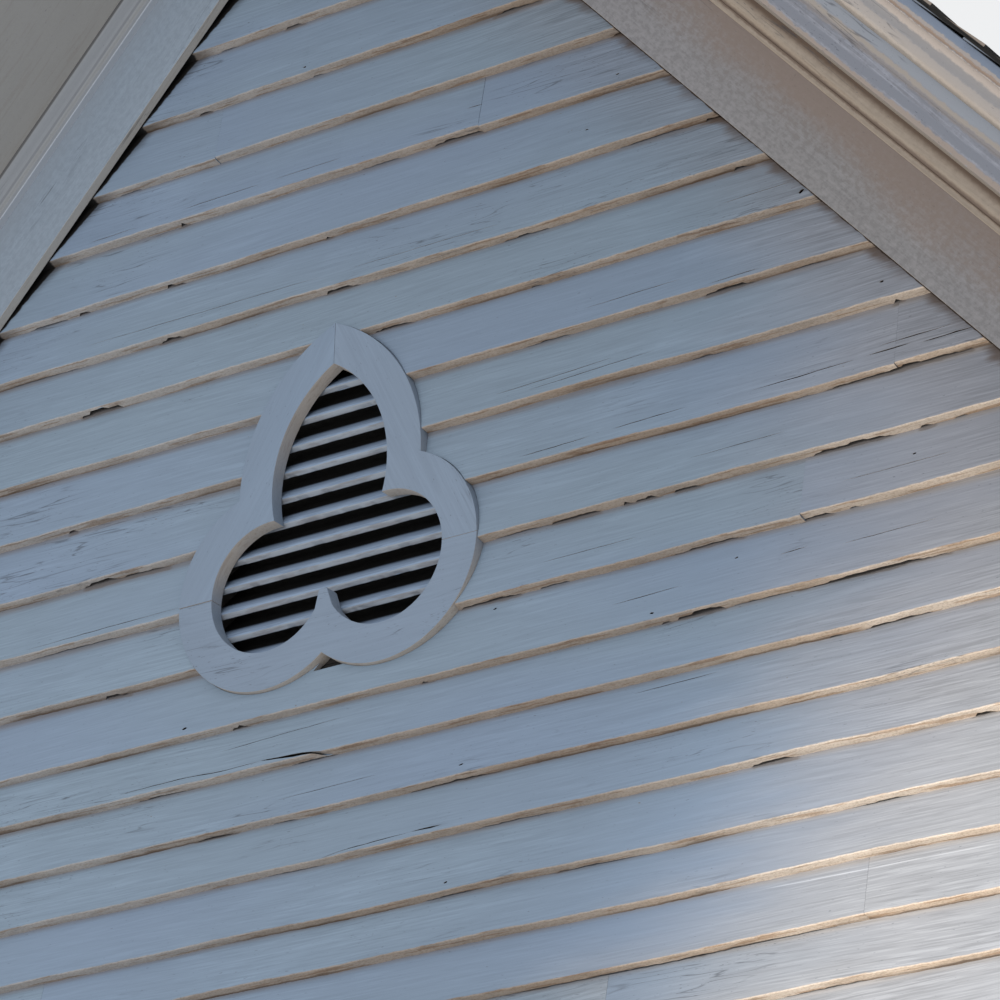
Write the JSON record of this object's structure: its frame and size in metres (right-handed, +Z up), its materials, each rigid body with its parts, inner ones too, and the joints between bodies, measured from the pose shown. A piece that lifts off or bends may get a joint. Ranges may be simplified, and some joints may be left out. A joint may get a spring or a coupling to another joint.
{
  "type": "timber gable end with a trefoil louvred vent, its raking cornice and its roof edge",
  "caption": "Clapboarded timber gable end with a trefoil louvred vent, frieze boards, a boxed raking cornice and a shingled roof edge.",
  "frame": {"origin": "middle of the underside of the bottom plate, where the gable stands on the wall below", "axes": "+Z up, -Y out through the clapboards to the front, +X to the right as seen from the front"},
  "size_m": [5.5192, 0.528, 3.0766],
  "materials": {
    "clapboard_paint": "weathered cool white paint",
    "vent_paint": "weathered cool white paint",
    "trim_paint": "weathered white paint",
    "fascia_paint": "worn white paint with grey wood showing",
    "moulding_paint": "cream white paint",
    "shingle": "dark mineral-faced roofing felt",
    "screen_wire": "dull grey woven wire",
    "rough_board": "old sawn boards, unpainted",
    "framing_timber": "old sawn timber, unpainted"
  },
  "bodies": {
    "root": {"bottom_plate": "framing_timber", "studs_left": "framing_timber", "studs_right": "framing_timber", "trimmer_left": "framing_timber", "trimmer_right": "framing_timber", "vent_header": "framing_timber", "vent_sill": "framing_timber", "cripple_studs": "framing_timber", "rafter_left": "framing_timber", "rafter_right": "framing_timber", "sheathing_lower": "rough_board", "sheathing_left": "rough_board", "sheathing_right": "rough_board", "sheathing_upper": "rough_board", "siding_lower": "clapboard_paint", "siding_left": "clapboard_paint", "siding_right": "clapboard_paint", "siding_upper": "clapboard_paint", "casing_left": "vent_paint", "casing_right": "vent_paint", "casing_bottom": "vent_paint", "louvre_frame": "framing_timber", "louvre_slats": "vent_paint", "insect_screen": "screen_wire", "frieze_left": "trim_paint", "frieze_right": "trim_paint", "bed_mould_left": "moulding_paint", "bed_mould_right": "moulding_paint", "soffit_left": "trim_paint", "soffit_right": "trim_paint", "lookouts_left": "framing_timber", "lookouts_right": "framing_timber", "barge_rafter_left": "framing_timber", "barge_rafter_right": "framing_timber", "lower_fascia_left": "fascia_paint", "lower_fascia_right": "fascia_paint", "upper_fascia_left": "fascia_paint", "upper_fascia_right": "fascia_paint", "crown_mould_left": "moulding_paint", "crown_mould_right": "moulding_paint", "roof_deck_left": "rough_board", "roof_deck_right": "rough_board", "shingles_left": "shingle", "shingles_right": "shingle", "ridge_cap": "shingle"}
  },
  "joints": []
}
